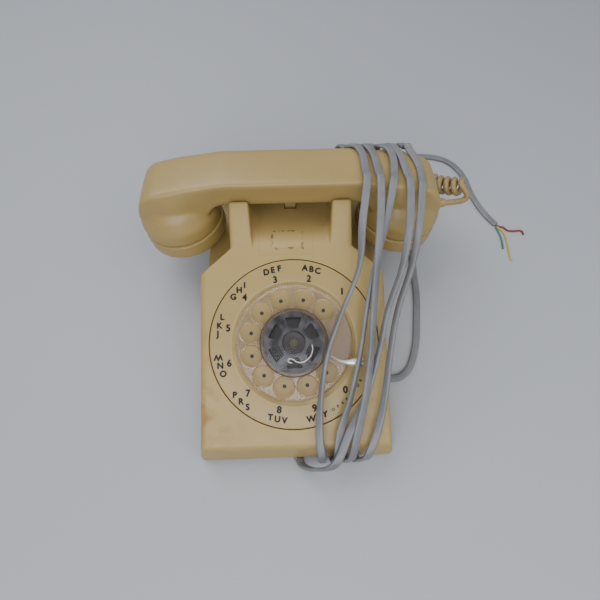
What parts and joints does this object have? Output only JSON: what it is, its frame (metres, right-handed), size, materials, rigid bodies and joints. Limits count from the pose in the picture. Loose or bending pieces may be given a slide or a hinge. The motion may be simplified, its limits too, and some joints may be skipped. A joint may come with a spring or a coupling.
{
  "type": "rotary wall telephone",
  "caption": "Ivory rotary wall telephone lying on its back, with its handset in the cradle and its flat grey line cord wound round it.",
  "frame": {"origin": "middle of the footprint of the telephone without its cords, on the surface it lies on", "axes": "+X to the right, +Y to the telephone's top, +Z out of its wall plate"},
  "size_m": [0.3148, 0.2857, 0.1005],
  "materials": {
    "housing": "yellowed ivory moulding with fine scratches and stains",
    "number_plate": "yellowed ivory moulding with fine scratches and stains",
    "handset_shell": "yellowed ivory moulding with fine scratches and stains",
    "receiver_cap": "yellowed ivory moulding with fine scratches and stains",
    "transmitter_cap": "yellowed ivory moulding with fine scratches and stains",
    "handset_boot": "yellowed ivory moulding with fine scratches and stains",
    "handset_cord": "yellowed ivory moulding with fine scratches and stains",
    "fingerwheel": "clear acrylic, slightly cloudy",
    "card_window": "clear acrylic, slightly cloudy",
    "line_cord_lead": "matte flat vinyl cord",
    "line_cord_winding": "matte flat vinyl cord",
    "line_cord_tail": "matte flat vinyl cord",
    "finger_stop": "polished plating with light wear",
    "base_plate": "dull zinc plate",
    "housing_screws": "dull zinc plate",
    "ringer_frame": "dull zinc plate",
    "gong_posts": "dull zinc plate",
    "clapper": "dull zinc plate",
    "clapper_pin": "dull zinc plate",
    "loudness_pin": "dull zinc plate",
    "hookswitch_frame": "dull zinc plate",
    "hook_pin": "dull zinc plate",
    "hook_spring": "dull zinc plate",
    "dial_bracket": "dull zinc plate",
    "dial_frame": "dull zinc plate",
    "main_shaft": "dull zinc plate",
    "governor_cup": "dull zinc plate",
    "terminal_screws": "dull brass",
    "low_gong": "dull brass",
    "high_gong": "dull brass",
    "contact_pile": "dull brass",
    "main_gear": "dull brass",
    "governor_pinion": "dull brass",
    "pulse_contacts": "dull brass",
    "hub_screw": "dull brass",
    "card_spring": "dull brass",
    "network_block": "black moulding",
    "loudness_wheel": "black moulding",
    "contact_cup": "black moulding",
    "handset_grommet": "black moulding",
    "line_grommet": "black moulding",
    "hook_lever": "off-white moulding",
    "dial_cover": "off-white moulding",
    "card_holder": "grey stamped plate",
    "receiver_unit": "dull aluminium",
    "transmitter_unit": "dull aluminium",
    "ringer_coil": "varnished copper winding",
    "line_conductors": "coloured insulation"
  },
  "bodies": {
    "root": {"housing": "housing", "base_plate": "base_plate", "housing_screws": "housing_screws", "network_block": "network_block", "terminal_screws": "terminal_screws", "ringer_frame": "ringer_frame", "ringer_coil": "ringer_coil", "gong_posts": "gong_posts", "low_gong": "low_gong", "high_gong": "high_gong", "clapper_pin": "clapper_pin", "loudness_pin": "loudness_pin", "hookswitch_frame": "hookswitch_frame", "hook_pin": "hook_pin", "hook_spring": "hook_spring", "contact_pile": "contact_pile", "dial_bracket": "dial_bracket", "dial_frame": "dial_frame", "dial_cover": "dial_cover", "number_plate": "number_plate", "finger_stop": "finger_stop", "governor_cup": "governor_cup", "pulse_contacts": "pulse_contacts", "handset_cord": "handset_cord", "handset_grommet": "handset_grommet", "line_grommet": "line_grommet", "line_cord_lead": "line_cord_lead", "line_cord_winding": "line_cord_winding", "line_cord_tail": "line_cord_tail", "line_conductors": "line_conductors"},
    "dial": {"main_shaft": "main_shaft", "main_gear": "main_gear", "fingerwheel": "fingerwheel", "card_holder": "card_holder", "card_spring": "card_spring", "card_window": "card_window", "hub_screw": "hub_screw"},
    "governor": {"governor_pinion": "governor_pinion"},
    "hook": {"hook_lever": "hook_lever"},
    "clapper": {"clapper": "clapper"},
    "loudness": {"loudness_wheel": "loudness_wheel"},
    "handset": {"handset_shell": "handset_shell", "receiver_cap": "receiver_cap", "transmitter_cap": "transmitter_cap", "receiver_unit": "receiver_unit", "transmitter_unit": "transmitter_unit", "contact_cup": "contact_cup", "handset_boot": "handset_boot"}
  },
  "joints": [
    {"name": "dial_turn", "type": "hinge", "parent": "root", "child": "dial", "pos_m": [0, -0.038, 0.04598], "axis": [0, -0.3502, 0.9367], "range_deg": [-330, 0], "stiffness_Nm_per_rad": 0.004, "springref_deg": 34.38},
    {"name": "governor_turn", "type": "hinge", "parent": "root", "child": "governor", "pos_m": [0, -0.01177, 0.05579], "axis": [0, -0.3502, 0.9367], "range_deg": [0, 1240]},
    {"name": "handset_lift", "type": "slide", "parent": "root", "child": "handset", "axis": [0, 0, 1], "range_m": [0, 0.08], "deforming": ["line_cord_winding", "handset_cord"]},
    {"name": "hook_turn", "type": "hinge", "parent": "root", "child": "hook", "pos_m": [0, 0.036, 0.042], "axis": [1, 0, 0], "range_deg": [0, 12.1]},
    {"name": "clapper_rock", "type": "hinge", "parent": "root", "child": "clapper", "pos_m": [0, 0.036, 0.0084], "axis": [0, 0, 1], "range_deg": [-3, 3], "stiffness_Nm_per_rad": 0.002},
    {"name": "loudness_turn", "type": "hinge", "parent": "root", "child": "loudness", "pos_m": [0, 0.092, 0.013], "axis": [0, 0, 1], "range_deg": [-90, 90]}
  ],
  "couplings": [
    {"joint": "governor_turn", "follows": "dial_turn", "ratio": -3.6667},
    {"joint": "hook_turn", "follows": "handset_lift", "rad_per_m": 2.6}
  ]
}
